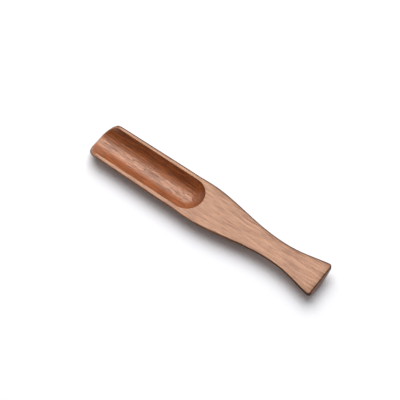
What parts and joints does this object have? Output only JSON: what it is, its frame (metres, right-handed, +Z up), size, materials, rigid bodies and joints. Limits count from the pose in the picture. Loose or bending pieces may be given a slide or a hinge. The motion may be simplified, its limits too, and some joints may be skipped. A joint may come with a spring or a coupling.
{
  "type": "tea scoop",
  "caption": "Carved wooden scoop with a half-round trough that opens at a raked mouth, a narrow waist and a flared fish-tail handle.",
  "frame": {"origin": "midway along the scoop and across it, on the plane that the flat of the belly rests on", "axes": "+X from the mouth to the fish tail, +Z up out of the trough, +Y across the trough"},
  "size_m": [0.17, 0.0284, 0.011],
  "materials": {
    "hardwood": "sanded smooth and waxed to a low satin sheen"
  },
  "bodies": {
    "root": {"tea_scoop": "hardwood"}
  },
  "joints": []
}
